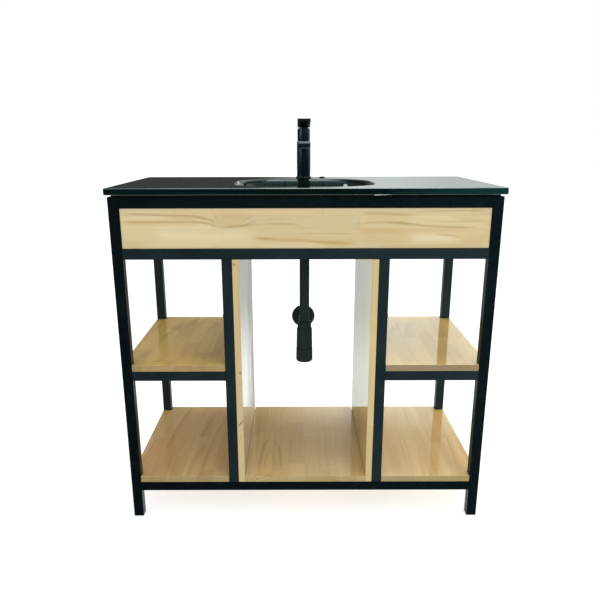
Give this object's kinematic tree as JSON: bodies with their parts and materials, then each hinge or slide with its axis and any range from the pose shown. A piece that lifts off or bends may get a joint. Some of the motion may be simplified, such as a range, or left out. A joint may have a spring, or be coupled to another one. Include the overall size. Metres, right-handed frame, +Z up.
{
  "type": "bathroom vanity unit",
  "caption": "Open bathroom vanity: black square-tube frame, jointed pine panels and shelves, glass top with a moulded bowl, lever mixer, waste and bottle trap.",
  "frame": {"origin": "on the floor, at the middle of the overall width and depth", "axes": "+Z up, the front faces -Y, +X to the right seen from the front"},
  "size_m": [0.91, 0.5, 1.0033],
  "materials": {
    "frame_steel": "satin black powder coat",
    "pine": "clear gloss varnish on finger-jointed pine",
    "black_glass": "polished, painted black on its back, green at the edges",
    "black_metal": "satin black lacquer",
    "black_plastic": "matte moulded plastic",
    "rubber": "matte",
    "foam": "black closed-cell foam strip",
    "zinc_steel": "zinc plated",
    "brass": "bare machined",
    "white_plastic": "moulded",
    "aerator": "moulded insert"
  },
  "bodies": {
    "cabinet": {"leg_front_left": "frame_steel", "leg_front_right": "frame_steel", "leg_rear_left": "frame_steel", "leg_rear_right": "frame_steel", "post_front_left": "frame_steel", "post_front_right": "frame_steel", "post_rear_left": "frame_steel", "post_rear_right": "frame_steel", "top_rail_front": "frame_steel", "top_rail_rear": "frame_steel", "apron_rail_front": "frame_steel", "apron_rail_rear": "frame_steel", "bottom_rail_front": "frame_steel", "bottom_rail_rear": "frame_steel", "shelf_rails_left": "frame_steel", "shelf_rails_right": "frame_steel", "side_rails_left": "frame_steel", "side_rails_right": "frame_steel", "cross_bars": "frame_steel", "panel_tabs": "frame_steel", "leg_end_caps": "black_plastic", "front_panel": "pine", "side_panel_left": "pine", "side_panel_right": "pine", "shelf_left": "pine", "shelf_right": "pine", "floor_left": "pine", "floor_centre": "pine", "floor_right": "pine", "divider_left": "pine", "divider_right": "pine", "board_screws": "zinc_steel", "panel_screws": "zinc_steel", "glass_pads": "foam", "glass_top": "black_glass", "hole_plug": "rubber", "tap_base_seal": "rubber", "tap_base_ring": "black_metal", "tap_body": "black_metal", "tap_aerator": "aerator", "tap_shroud": "black_metal", "tap_cartridge": "white_plastic", "tap_stud": "brass", "tap_clamp_plate": "zinc_steel", "tap_nut": "brass", "waste_body": "black_metal", "waste_gaskets": "rubber", "waste_nut": "black_metal", "trap_tailpiece": "black_plastic", "trap_inlet_nut": "black_plastic", "trap_body": "black_plastic", "trap_cup_seal": "rubber", "trap_cup": "black_plastic", "trap_outlet_nut": "black_plastic", "trap_outlet_pipe": "black_plastic"},
    "tap_handle": {"tap_ball": "black_metal", "tap_pivot_pin": "zinc_steel"},
    "tap_paddle": {"tap_lever": "black_metal"},
    "waste_plug": {"waste_plug": "black_metal"},
    "wall_rosette": {"wall_flange": "black_plastic"}
  },
  "joints": [
    {"name": "tap_swivel", "type": "hinge", "parent": "cabinet", "child": "tap_handle", "pos_m": [0, 0.152, 0.974], "axis": [0, 0, 1], "range_deg": [-45, 45]},
    {"name": "tap_lift", "type": "hinge", "parent": "tap_handle", "child": "tap_paddle", "pos_m": [0, 0.152, 0.974], "axis": [-1, 0, 0], "range_deg": [0, 22]},
    {"name": "plug_lift", "type": "slide", "parent": "cabinet", "child": "waste_plug", "axis": [0, 0, 1], "range_m": [0, 0.008]},
    {"name": "rosette_slide", "type": "slide", "parent": "cabinet", "child": "wall_rosette", "axis": [0, -1, 0], "range_m": [0, 0.18]}
  ]
}
